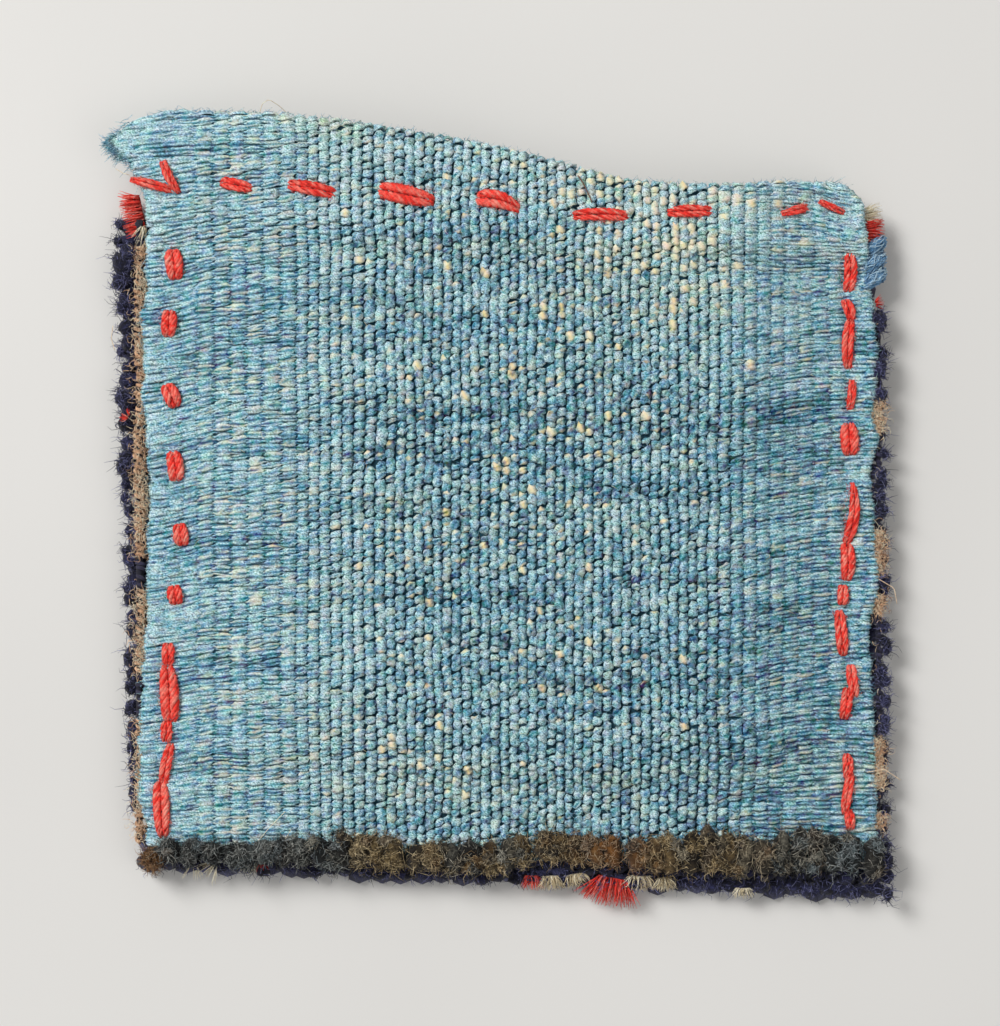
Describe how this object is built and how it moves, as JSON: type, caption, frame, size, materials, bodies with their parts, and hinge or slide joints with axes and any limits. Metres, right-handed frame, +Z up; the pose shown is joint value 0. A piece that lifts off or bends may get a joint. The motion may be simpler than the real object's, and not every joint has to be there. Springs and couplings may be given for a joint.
{
  "type": "kilim saddle bag",
  "caption": "Small flat wool bag with a plain blue woven back, a dark knotted-pile face, red running stitch up the sides and along its turned hem, open at the mouth.",
  "frame": {"origin": "centre of the bag's outline on the surface it lies on, under its pile face", "axes": "+Z up through the bag's thickness, +Y towards the mouth, +X to the right with the blue back up"},
  "size_m": [0.1734, 0.1752, 0.0172],
  "materials": {
    "kilim_cloth": "matte woven wool",
    "dark_pile": "matte wool pile",
    "brown_pile": "matte wool pile",
    "selvage_yarn": "matte hairy yarn",
    "blue_yarn": "matte wool yarn",
    "red_yarn": "matte two-ply wool yarn",
    "red_pile": "matte wool pile",
    "ivory_pile": "matte wool pile"
  },
  "bodies": {
    "root": {"bag_cloth": "kilim_cloth", "face_pile": "dark_pile", "base_pile_band": "brown_pile", "left_selvage_wrap": "selvage_yarn", "right_selvage_wrap": "selvage_yarn", "right_corner_whip": "blue_yarn", "left_seam_thread": "red_yarn", "right_seam_thread": "red_yarn", "hem_thread": "red_yarn", "red_corner_tuft_left": "red_pile", "red_corner_tuft_right": "red_pile", "red_base_tuft": "red_pile", "red_base_tuft_small": "red_pile", "ivory_base_tuft_1": "ivory_pile", "ivory_base_tuft_2": "ivory_pile", "ivory_base_tuft_3": "ivory_pile", "ivory_base_tuft_4": "ivory_pile"}
  },
  "joints": []
}
